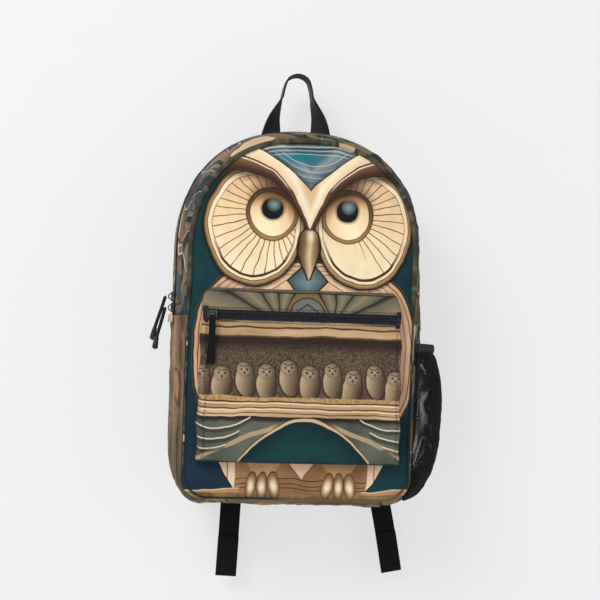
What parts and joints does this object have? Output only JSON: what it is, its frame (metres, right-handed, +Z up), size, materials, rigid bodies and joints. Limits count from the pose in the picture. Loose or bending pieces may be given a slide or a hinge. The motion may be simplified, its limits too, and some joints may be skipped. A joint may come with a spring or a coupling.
{
  "type": "school backpack",
  "caption": "Arched school backpack with a zipped front flap, front pocket, side net pocket, padded straps and a grab loop.",
  "frame": {"origin": "inside top of the grab loop, where a peg carries the bag", "axes": "+X across the bag towards the net pocket, +Y from the front pocket to the wearer's back, +Z up"},
  "size_m": [0.3458, 0.1889, 0.6189],
  "materials": {
    "printed_cloth": "woven polyester printed all over",
    "olive_cloth": "woven polyester, wood-grain print",
    "black_cloth": "black woven polyester and air mesh",
    "webbing": "ribbed webbing",
    "zip_tape": "zip tape with nylon coil",
    "zip_metal": "gunmetal",
    "black_plastic": "moulded acetal",
    "netting": "hexagonal net with elastic edge",
    "foam": "foam with grey lining"
  },
  "bodies": {
    "bag": {"anchor_tab_left": "black_cloth", "anchor_tab_right": "black_cloth", "back_binding_bottom": "black_cloth", "back_binding_top": "black_cloth", "back_foam": "foam", "back_lining": "foam", "back_panel": "black_cloth", "bottom_front_strip": "olive_cloth", "bottom_panel": "olive_cloth", "front_gusset_foot_left": "printed_cloth", "front_gusset_foot_right": "printed_cloth", "front_panel_bottom": "printed_cloth", "front_piping_bottom": "olive_cloth", "lower_webbing_left": "webbing", "lower_webbing_right": "webbing", "main_zip_end_patch_left": "black_cloth", "main_zip_end_patch_right": "black_cloth", "main_zip_foot_left": "zip_tape", "main_zip_foot_right": "zip_tape", "main_zip_rear_coil": "zip_tape", "main_zip_rear_tape": "zip_tape", "mesh_pocket": "netting", "mesh_pocket_elastic": "netting", "pocket_base": "printed_cloth", "pocket_front": "printed_cloth", "pocket_side_left": "printed_cloth", "pocket_side_right": "printed_cloth", "pocket_top_panel": "printed_cloth", "pocket_zip_end_patch_left": "printed_cloth", "pocket_zip_end_patch_right": "printed_cloth", "pocket_zip_lower_coil": "zip_tape", "pocket_zip_lower_tape": "zip_tape", "pocket_zip_upper_coil": "zip_tape", "pocket_zip_upper_tape": "zip_tape", "rear_gusset": "printed_cloth", "side_gusset_left": "olive_cloth", "side_gusset_right": "olive_cloth", "strap_yoke": "black_cloth"},
    "grab_loop": {"grab_loop": "webbing"},
    "front_flap": {"front_gusset_top": "printed_cloth", "front_panel_top": "printed_cloth", "front_piping_top": "olive_cloth", "main_zip_front_tape": "zip_tape", "main_zip_front_coil": "zip_tape"},
    "main_slider_lower": {"main_slider_lower": "zip_metal"},
    "main_slider_upper": {"main_slider_upper": "zip_metal"},
    "main_puller_lower": {"main_puller_lower": "black_cloth"},
    "main_puller_upper": {"main_puller_upper": "black_cloth"},
    "pocket_slider": {"pocket_slider": "zip_metal"},
    "pocket_puller": {"pocket_puller": "black_cloth"},
    "shoulder_strap_left": {"strap_pad_left": "black_cloth", "strap_webbing_left": "webbing", "ladder_lock_left": "black_plastic", "webbing_tail_left": "webbing"},
    "shoulder_strap_right": {"strap_pad_right": "black_cloth", "strap_webbing_right": "webbing", "ladder_lock_right": "black_plastic", "webbing_tail_right": "webbing"}
  },
  "joints": [
    {"name": "grab_loop_flop", "type": "hinge", "parent": "bag", "child": "grab_loop", "pos_m": [0, 0, -0.074], "axis": [1, 0, 0], "range_deg": [-60, 60]},
    {"name": "front_flap_fold", "type": "hinge", "parent": "bag", "child": "front_flap", "pos_m": [0, -0.134, -0.258], "axis": [1, 0, 0], "range_deg": [0, 100]},
    {"name": "main_slider_lower_travel", "type": "slide", "parent": "bag", "child": "main_slider_lower", "axis": [0, 0, 1], "range_m": [0, 0.024]},
    {"name": "main_slider_upper_travel", "type": "slide", "parent": "main_slider_lower", "child": "main_slider_upper", "axis": [0, 0, 1], "range_m": [0, 0.024]},
    {"name": "main_puller_lower_lift", "type": "hinge", "parent": "main_slider_lower", "child": "main_puller_lower", "pos_m": [-0.15, -0.075, -0.286], "axis": [0, 1, 0], "range_deg": [0, 80]},
    {"name": "main_puller_upper_lift", "type": "hinge", "parent": "main_slider_upper", "child": "main_puller_upper", "pos_m": [-0.15, -0.075, -0.273], "axis": [0, 1, 0], "range_deg": [0, 80]},
    {"name": "pocket_slider_travel", "type": "slide", "parent": "bag", "child": "pocket_slider", "axis": [1, 0, 0], "range_m": [0, 0.19]},
    {"name": "pocket_puller_lift", "type": "hinge", "parent": "pocket_slider", "child": "pocket_puller", "pos_m": [-0.102, -0.1505, -0.293], "axis": [-1, 0, 0], "range_deg": [0, 80]},
    {"name": "strap_swing_left", "type": "hinge", "parent": "bag", "child": "shoulder_strap_left", "pos_m": [-0.048, 0.015, -0.099], "axis": [1, 0, 0], "range_deg": [0, 35]},
    {"name": "strap_swing_right", "type": "hinge", "parent": "bag", "child": "shoulder_strap_right", "pos_m": [0.048, 0.015, -0.099], "axis": [1, 0, 0], "range_deg": [0, 35]}
  ]
}
